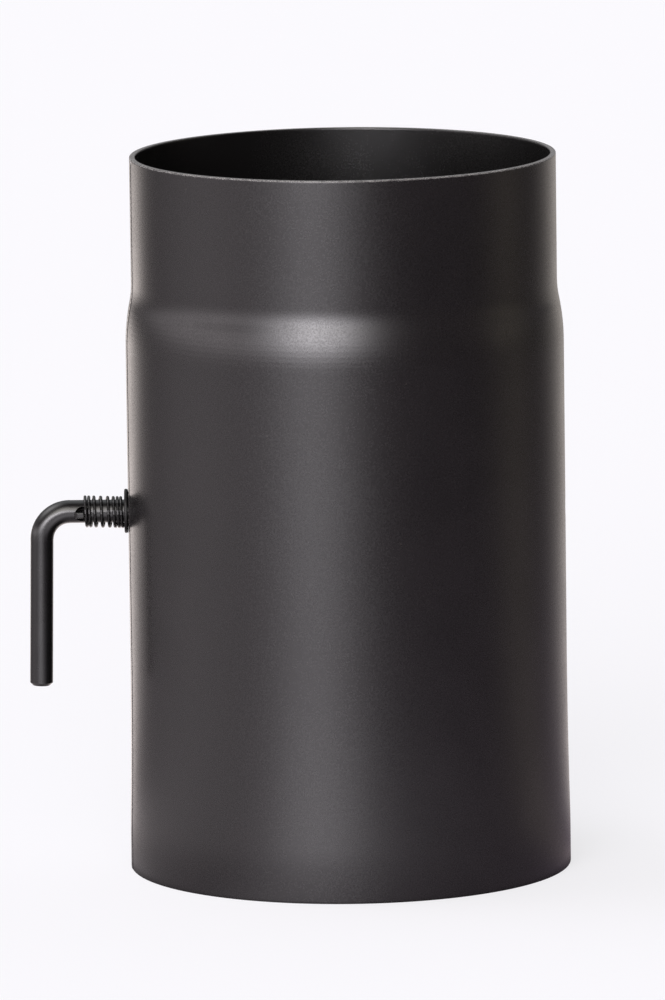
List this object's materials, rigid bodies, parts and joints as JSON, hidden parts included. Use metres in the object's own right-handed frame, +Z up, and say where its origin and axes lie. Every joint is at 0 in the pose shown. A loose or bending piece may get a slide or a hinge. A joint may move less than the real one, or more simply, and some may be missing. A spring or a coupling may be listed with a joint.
{
  "type": "stove pipe with damper",
  "caption": "Round steel stove pipe section with a reduced spigot, a widened socket and a damper flap turned by a bent bar handle with a friction spring.",
  "frame": {"origin": "centre of the socket's mouth, on the plane that the foot stands on", "axes": "+Z up along the pipe's axis towards the spigot; the damper's bar lies along X, with its handle on the -X side"},
  "size_m": [0.1883, 0.1538, 0.25],
  "materials": {
    "pipe_paint": "matt charcoal heat-proof paint",
    "bar_paint": "matt black heat-proof paint",
    "black_spring": "blackened spring steel",
    "plain_steel": "dark mill finish",
    "zinc_plate": "dull zinc plate"
  },
  "bodies": {
    "pipe": {"pipe": "pipe_paint"},
    "damper": {"handle_bar": "bar_paint", "spring": "black_spring", "outer_washer": "bar_paint", "inner_washer": "plain_steel", "split_pin": "zinc_plate", "flap": "plain_steel", "flap_screws": "zinc_plate", "lock_washers": "zinc_plate", "flap_nuts": "zinc_plate"}
  },
  "joints": [
    {"name": "damper_turn", "type": "hinge", "parent": "pipe", "child": "damper", "pos_m": [0, 0, 0.1255], "axis": [1, 0, 0], "continuous": true}
  ]
}
